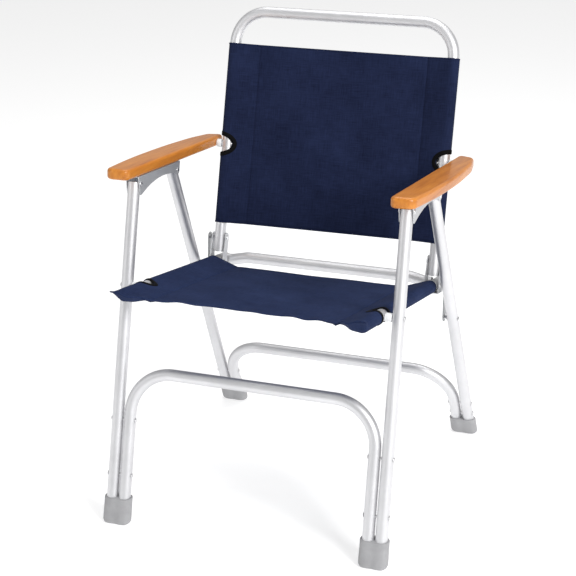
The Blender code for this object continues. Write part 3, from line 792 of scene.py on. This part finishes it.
def inset(points, reach):
    """The closed outline drawn in by a distance."""
    moved = []
    count = len(points)
    for index, point in enumerate(points):
        along = (points[(index + 1) % count] - points[index - 1]).normalized()
        moved.append(point + reach * Vector((-along.y, along.x, 0)))
    return moved


def make_armrest(side, sign):
    slope = Matrix.Rotation(math.atan(ARM_SLOPE), 4, "X")
    tilt = Matrix.Translation((0, ARM_FRONT.x, ARM_FRONT.y)) @ slope
    plan = arm_plan()
    rings = []
    for base, turn, radius in ((0, -1, ARM_LOW_EDGE), (ARM_THICKNESS, 1, ARM_EDGE)):
        arc_steps = range(9) if turn < 0 else range(8, -1, -1)
        for step in arc_steps:
            angle = math.pi / 2 * step / 8
            reach = radius * (1 - math.sin(angle))
            z = base - turn * radius * (1 - math.cos(angle))
            ring = inset(plan, reach)
            rings.append([tilt @ Vector((sign * (ARM_INNER_X + p.x), p.y, z)) for p in ring])
    bm = loft(rings)
    body, node = f"arm_{side}", f"armrest_{side}"
    add_object(f"armrest_wood_{side}", bm, WOOD, body, [node], smooth=50)


# ---------------------------------------------------------------- slings


class Sling:
    """A cloth on two parallel tubes: round each tube, back to a seam, and across between the seams.

    A point of the cloth is found from a side (1 or -1), from its distance u round the sleeve from
    the tube's outermost line (in front of it above 0, behind it below 0), and from its distance v
    along the tube.
    """

    def __init__(self, name, body, tube_x, start, end, out, cutout, cutout_size):
        self.name = name
        self.body = body
        self.tube_x = tube_x
        self.start = start
        self.along = (end - start).normalized()
        self.length = (end - start).length
        self.out = out
        self.cutout = (cutout - start).dot(self.along)
        self.seam = tube_x - SEAM_INSET
        self.cutout_u, self.cutout_v = cutout_size
        reach = math.hypot(SEAM_INSET, SEAM_DEPTH)
        tilt = math.atan2(SEAM_DEPTH, SEAM_INSET)
        self.wrap = math.pi - math.acos(SLEEVE_RADIUS / reach) - tilt
        self.round = SLEEVE_RADIUS * self.wrap
        self.touch = SLEEVE_RADIUS * Vector((math.cos(self.wrap), math.sin(self.wrap)))
        self.web = math.sqrt(reach**2 - SLEEVE_RADIUS**2)
        self.middle = self.round + self.web + self.seam
        self.flap = self.round + self.web + FLAP_END
        self.columns = self.make_columns()
        self.rows = self.make_rows()

    def sag(self, inward, v):
        return 0.0

    def ear(self, x):
        return 0.0

    def ripple(self, x, v, inward):
        return 0.0

    def low_edge(self, x):
        return 0.0

    def seam_relief(self, x, v):
        """The groove that the stitches pull along each seam, and the puckers beside it."""
        off = abs(x) - self.seam
        groove = -SEAM_GROOVE * math.exp(-((off / 0.0022) ** 2))
        return groove + math.exp(-((off / 0.009) ** 2)) * math.sin(v * 420) * 0.0003

    def closing(self, v):
        """How far the sleeve is pinched flat: 0 where it is round, and 1 at its closed end."""
        return 0.0

    def section(self, u):
        """(distance out from the tube's middle line, depth) of the cloth, before sag."""
        reach = abs(u)
        if reach <= self.round:
            angle = reach / SLEEVE_RADIUS
            x, depth = SLEEVE_RADIUS * math.cos(angle), SLEEVE_RADIUS * math.sin(angle)
        else:
            share = min(1.0, (reach - self.round) / self.web)
            x = self.touch.x + share * (-SEAM_INSET - self.touch.x)
            depth = self.touch.y + share * (SEAM_DEPTH - self.touch.y)
            x -= max(0.0, reach - self.round - self.web)
        if u >= 0:
            return x, depth
        back = SEAM_DEPTH - CLOTH_THICKNESS * 1.3
        share = max(0.0, min(1.0, (reach - self.round) / self.web))
        return x, -depth + share * (back + SEAM_DEPTH)

    def surface(self, side, u, v):
        x, depth = self.section(u)
        closing = self.closing(v)
        pinch = closing * max(0.0, min(1.0, 3 * (x + SEAM_INSET) / SEAM_INSET))
        lift = EAR_LIFT[0 if side > 0 else 1] * max(0.0, min(1.0, (x + SEAM_INSET) / SEAM_INSET))
        depth = depth * (1 - 0.94 * pinch) + lift * pinch
        if x > 0:
            x *= 1 + EAR_SPREAD * closing
        across = self.tube_x + x
        inward = max(0.0, 1 - (across / self.seam) ** 2)
        edge = self.low_edge(side * across)
        ahead = self.cutout - self.cutout_v - TAPE_WIDTH
        ear = self.ear(side * across) * max(0.0, 1 - v / ahead)
        v = edge + v * (self.length - edge) / self.length - ear
        height = depth - self.sag(inward, v) + self.ripple(side * across, v, inward)
        return self.start + self.along * v + X_AXIS * (side * across) + self.out * height

    def make_columns(self):
        """Distances round one side of the cloth, from its flap to the middle."""
        seam = self.round + self.web
        marks = [-self.flap, -self.flap + FLAP_END, -BLOCK_U, BLOCK_U]
        marks += [seam + step * 0.0012 for step in range(-3, 4)]
        return spread(marks + [self.middle], 0.0042)

    def make_rows(self):
        marks = (0, 0.030, self.cutout - BLOCK_V, self.cutout + BLOCK_V, self.length)
        return spread(marks, 0.0055)

    def in_block(self, u_low, u_high, v_low, v_high):
        middle_u, middle_v = (u_low + u_high) / 2, (v_low + v_high) / 2 - self.cutout
        return abs(middle_u) < BLOCK_U and abs(middle_v) < BLOCK_V

    def block_loop(self):
        """The columns and rows round the block of cloth that holds a cutout, in order."""
        inside = [index for index, u in enumerate(self.columns) if abs(u) < BLOCK_U + 1e-6]
        reach = BLOCK_V + 1e-6
        levels = [index for index, v in enumerate(self.rows) if abs(v - self.cutout) < reach]
        first_u, last_u, first_v, last_v = inside[0], inside[-1], levels[0], levels[-1]
        loop = [(u, first_v) for u in inside]
        loop += [(last_u, v) for v in levels[1:]]
        loop += [(u, last_v) for u in reversed(inside[:-1])]
        loop += [(first_u, v) for v in reversed(levels[1:-1])]
        return loop

    def cloth(self, material):
        """The whole cloth but for its two cutouts, with UVs in metres."""
        bm = bmesh.new()
        layer = bm.loops.layers.uv.new("UVMap")
        width = 2 * self.middle
        middle = {}
        for side in (1, -1):
            grid = {}

            def add(u, v, key):
                shared = middle if abs(u - self.middle) < 1e-9 else grid
                if key not in shared:
                    vertex = bm.verts.new(self.surface(side, u, v))
                    across = width / 2 + side * (self.middle - u)
                    shared[key] = (vertex, (across, v))
                return shared[key]

            def face(corners):
                made = bm.faces.new([vertex for vertex, uv in corners[::side]])
                for loop, (vertex, uv) in zip(made.loops, corners[::side]):
                    loop[layer].uv = uv

            for column, (u_low, u_high) in enumerate(zip(self.columns, self.columns[1:])):
                for row, (v_low, v_high) in enumerate(zip(self.rows, self.rows[1:])):
                    if self.in_block(u_low, u_high, v_low, v_high):
                        continue
                    face(
                        (
                            add(u_low, v_low, (column, row)),
                            add(u_high, v_low, (column + 1, row)),
                            add(u_high, v_high, (column + 1, row + 1)),
                            add(u_low, v_high, (column, row + 1)),
                        )
                    )
            loop = self.block_loop()
            rings = [[add(self.columns[c], self.rows[r], (c, r)) for c, r in loop]]
            for step in range(1, 5):
                ring = []
                for index, (c, r) in enumerate(loop):
                    u, v = self.columns[c], self.rows[r] - self.cutout
                    turn = math.atan2(v / self.cutout_v, u / self.cutout_u)
                    share = step / 4
                    at_u = u + share * (self.cutout_u * math.cos(turn) - u)
                    at_v = v + share * (self.cutout_v * math.sin(turn) - v)
                    ring.append(add(at_u, self.cutout + at_v, ("ring", step, index)))
                rings.append(ring)
            for outer, inner in zip(rings, rings[1:]):
                count = len(outer)
                for index in range(count):
                    after = (index + 1) % count
                    face((outer[index], outer[after], inner[after], inner[index]))
        bm.normal_update()
        made = add_object(f"{self.name}_cloth", bm, material, self.body, smooth=75, tidy=False)
        solid = made.modifiers.new("thickness", "SOLIDIFY")
        solid.thickness = CLOTH_THICKNESS
        solid.offset = 0
        apply_modifiers(made)
        return made

    def normal(self, side, u, v):
        step = 0.0008
        across = self.surface(side, u + step, v) - self.surface(side, u - step, v)
        along = self.surface(side, u, v + step) - self.surface(side, u, v - step)
        return side * across.cross(along).normalized()

    def band(self, bm, side, path, half_width, thickness, closed=False):
        """A soft flat band that lies on both faces of the cloth along a path of (u, v)."""
        rings = []
        count = len(path)
        for index, (u, v) in enumerate(path):
            before = path[index - 1] if index or closed else path[0]
            after = path[(index + 1) % count] if index + 1 < count or closed else path[-1]
            here = self.surface(side, u, v)
            heading = (self.surface(side, *after) - self.surface(side, *before)).normalized()
            normal = self.normal(side, u, v)
            across = heading.cross(normal).normalized()
            ring = []
            for step in range(12):
                angle = 2 * math.pi * step / 12
                wide = math.copysign(abs(math.cos(angle)) ** 0.5, math.cos(angle))
                thick = math.copysign(abs(math.sin(angle)) ** 0.7, math.sin(angle))
                ring.append(here + across * (wide * half_width) + normal * (thick * thickness / 2))
            rings.append(ring)
        if closed:
            made = [[bm.verts.new(point) for point in ring] for ring in rings]
            ring_faces(bm, made + made[:1])
        else:
            add_loft(bm, rings)

    def tapes(self):
        """The black tape bound over the edge of both cutouts."""
        bm = bmesh.new()
        for side in (1, -1):
            path = []
            for step in range(96):
                angle = 2 * math.pi * step / 96
                u = (self.cutout_u + TAPE_WIDTH / 2) * math.cos(angle)
                v = (self.cutout_v + TAPE_WIDTH / 2) * math.sin(angle)
                path.append((u, self.cutout + v))
            self.band(bm, side, path, TAPE_WIDTH / 2, TAPE_THICKNESS, closed=True)
        return add_object(f"{self.name}_tape", bm, TAPE, self.body, smooth=60)

    def lay_uvs(self, bm):
        """UVs in metres across and along the cloth, for its trim."""
        layer = bm.loops.layers.uv.new("UVMap")
        for face in bm.faces:
            for corner in face.loops:
                offset = corner.vert.co - self.start
                corner[layer].uv = (offset.x, offset.dot(self.along))

    def hems(self, material):
        """A rolled hem along each cut edge of the cloth."""
        bm = bmesh.new()
        turns = [self.middle - step * (self.middle - self.round) / 30 for step in range(31)]
        turns += [self.round * (1 - step / 14) for step in range(1, 15)]
        for v in (HEM_RADIUS * 0.4, self.length - HEM_RADIUS * 0.4):
            for side in (1, -1):
                path = [(u, v) for u in turns]
                self.band(bm, side, path, HEM_RADIUS, HEM_RADIUS * 1.7)
        self.lay_uvs(bm)
        return add_object(f"{self.name}_hem", bm, material, self.body, smooth=60)

    def stitching(self):
        """Short raised threads along both seams and both hems, on the front of the cloth."""
        bm = bmesh.new()
        seam_u = self.round + self.web
        for side in (1, -1):
            for inset in (-0.0052, 0.0008):
                for index in range(int((self.length - 0.004) / STITCH_PITCH)):
                    low = 0.002 + index * STITCH_PITCH
                    u = seam_u + inset
                    self.add_stitch(bm, side, (u, low), (u, low + STITCH_LENGTH))
            for v in (HEM_WIDTH, self.length - HEM_WIDTH):
                for index in range(int((self.middle - self.round) / STITCH_PITCH)):
                    u = self.round + index * STITCH_PITCH
                    self.add_stitch(bm, side, (u, v), (u + STITCH_LENGTH, v))
        return add_object(f"{self.name}_stitching", bm, THREAD, self.body, smooth=80)

    def add_stitch(self, bm, side, first, last):
        lift = self.normal(side, *first) * (CLOTH_THICKNESS / 2 + STITCH_RADIUS * 0.3)
        ends = [self.surface(side, *first) + lift, self.surface(side, *last) + lift]
        along = (ends[1] - ends[0]).normalized()
        across = along.cross(lift).normalized()
        up = across.cross(along)
        rings = []
        for share, swell in ((0, 0.4), (0.2, 1), (0.8, 1), (1, 0.4)):
            rings.append(circle(ends[0].lerp(ends[1], share), across, up, STITCH_RADIUS * swell, 6))
        add_loft(bm, rings)

    def finish(self, material, slot, rests_on):
        """Makes the cloth and its trim."""
        cloth = self.cloth(material)
        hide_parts(self.name)
        pieces = [self.tapes(), self.hems(material), self.stitching()]


def spread(marks, pitch):
    """Every mark, with evenly spaced values between them."""
    values = []
    for low, high in zip(marks, marks[1:]):
        steps = max(1, round((high - low) / pitch))
        values += [low + (high - low) * step / steps for step in range(steps)]
    return values + [marks[-1]]


def smooth_noise(*position):
    return noise.noise(Vector(position))


class BackSling(Sling):
    def sag(self, inward, v):
        return inward * (0.0035 + 0.0030 * math.sin(math.pi * v / self.length))

    def ripple(self, x, v, inward):
        slow = smooth_noise(x * 9, v * 11, 3.0) * 0.0012
        low_edge = math.exp(-v / 0.05) * smooth_noise(x * 26, v * 10, 8.0) * 0.0016
        puckers = self.seam_relief(x, v)
        pull = math.exp(-(((v - self.cutout) / 0.030) ** 2))
        pull *= math.exp(-(((0.19 - abs(x)) / 0.06) ** 2))
        crease = pull * math.sin((v - self.cutout) * 190 + abs(x) * 60) * 0.0011
        return inward * (slow + low_edge) + min(1.0, inward * 6) * crease + puckers

    def low_edge(self, x):
        return BACK_EDGE_TILT * x - 0.0007


class SeatSling(Sling):
    def sag(self, inward, v):
        share = min(1.0, max(0.0, v / self.length))
        return inward * SEAT_SAG * (1 - share) ** 0.75 + inward * 0.0015

    def ripple(self, x, v, inward):
        slow = smooth_noise(x * 8, v * 8, 5.0) * 0.0016
        near_front = math.exp(-max(0.0, v - self.low_edge(x)) / 0.045)
        waves = near_front * math.sin(x * 92 + 0.6) * 0.0006
        pull = near_front * smooth_noise(x * 34, v * 16, 2.0) * 0.0018
        puckers = self.seam_relief(x, v)
        curl = 0.003 * math.exp(-((abs(x) - 0.208) / 0.014) ** 2) * math.exp(-max(0.0, v) / 0.016)
        return inward * slow + min(1.0, inward * 3) * (waves + pull) + puckers - curl

    def low_edge(self, x):
        return SEAT_EDGE_HOLLOW * max(0.0, 1 - (abs(x) / (RAIL_X - 0.022)) ** 3)

    def ear(self, x):
        """How far the front corner reaches past the straight edge; it ends before the cutout."""
        share = max(0.0, (abs(x) - EAR_FROM) / EAR_SPAN) ** 1.4
        return (EAR_REACH[0] if x > 0 else EAR_REACH[1]) * share

    def closing(self, v):
        share = min(1.0, max(0.0, 1 - v / SEAT_PINCH_LENGTH))
        return share * share * (3 - 2 * share)


def make_back_sling():
    start, end = (Vector((0, upright_y(z), z)) for z in BACK_CLOTH_Z)
    out = X_AXIS.cross((end - start).normalized())
    cutout = Vector((0, upright_y(BACK_BOLT.y), BACK_BOLT.y))
    sling = BackSling("back_sling", "back", UPRIGHT_X, start, end, out, cutout, BACK_CUTOUT)
    sling.finish(BACK_CLOTH, "back_fabric", ["back_hoop"])


def make_seat_sling():
    start, end = (Vector((0, y, rail_z(y))) for y in SEAT_CLOTH_Y)
    out = X_AXIS.cross((end - start).normalized())
    cutout = Vector((0, SEAT_PIVOT.x, SEAT_PIVOT.y))
    sling = SeatSling("seat_sling", "seat", RAIL_X, start, end, out, cutout, SEAT_CUTOUT)
    sling.finish(SEAT_CLOTH_PAINTED_LIGHTER, "seat_fabric", ["seat_rail_tube_left", "seat_rail_tube_right"])


# ---------------------------------------------------------------- stage


def make_camera():
    azimuth, elevation, roll = VIEW_AZIMUTH, VIEW_ELEVATION, VIEW_ROLL
    back = Vector(
        (
            math.sin(azimuth) * math.cos(elevation),
            -math.cos(azimuth) * math.cos(elevation),
            math.sin(elevation),
        )
    )
    level = Vector((math.cos(azimuth), math.sin(azimuth), 0))
    up = back.cross(level)
    right = math.cos(roll) * level + math.sin(roll) * up
    top = back.cross(right)
    data = bpy.data.cameras.new("camera")
    data.sensor_width = SENSOR
    data.lens = VIEW_LENS
    camera = bpy.data.objects.new("camera", data)
    camera.matrix_world = Matrix((right, top, back)).transposed().to_4x4()
    camera.location = VIEW_TARGET + back * VIEW_DISTANCE
    bpy.context.scene.collection.objects.link(camera)
    bpy.context.scene.camera = camera


def add_softbox(name, location, target, size, power, colour=(1, 1, 1)):
    data = bpy.data.lights.new(name, "AREA")
    data.shape = "RECTANGLE"
    data.size, data.size_y = size
    data.energy = power
    data.color = colour
    light = bpy.data.objects.new(name, data)
    light.location = location
    light.rotation_euler = (Vector(target) - Vector(location)).to_track_quat("-Z", "Y").to_euler()
    bpy.context.scene.collection.objects.link(light)


def make_stage():
    bm = bmesh.new()
    bmesh.ops.create_grid(bm, x_segments=1, y_segments=1, size=12)
    mesh = bpy.data.meshes.new("floor")
    bm.to_mesh(mesh)
    bm.free()
    floor = bpy.data.objects.new("floor", mesh)
    paint = Shader("pale_floor", 0.9)
    paint.principled.inputs["Base Color"].default_value = (0.74, 0.74, 0.74, 1)
    paint.principled.inputs["Emission Color"].default_value = (1.0, 1.0, 1.0, 1)
    paint.principled.inputs["Emission Strength"].default_value = 0.50
    mesh.materials.append(paint.made)
    bpy.context.scene.collection.objects.link(floor)
    world = bpy.data.worlds.new("studio")
    world.use_nodes = True
    background = world.node_tree.nodes["Background"]
    background.inputs["Color"].default_value = (1.0, 1.0, 1.0, 1)
    background.inputs["Strength"].default_value = 0.42
    bpy.context.scene.world = world
    bpy.context.scene.view_settings.view_transform = "Standard"
    add_softbox("key", (2.9, -1.9, 2.3), (0, 0, 0.4), (1.2, 1.2), 112)
    add_softbox("fill", (-2.6, -2.2, 1.6), (0, 0, 0.4), (1.2, 1.8), 14)
    add_softbox("top", (0.0, 0.6, 3.0), (0, 0, 0.4), (2.2, 2.2), 40)


make_camera()
make_stage()
make_tubes()
make_hardware()
for arm_side, arm_sign in SIDES:
    make_armrest(arm_side, arm_sign)
make_back_sling()
make_seat_sling()

bpy.context.view_layer.update()
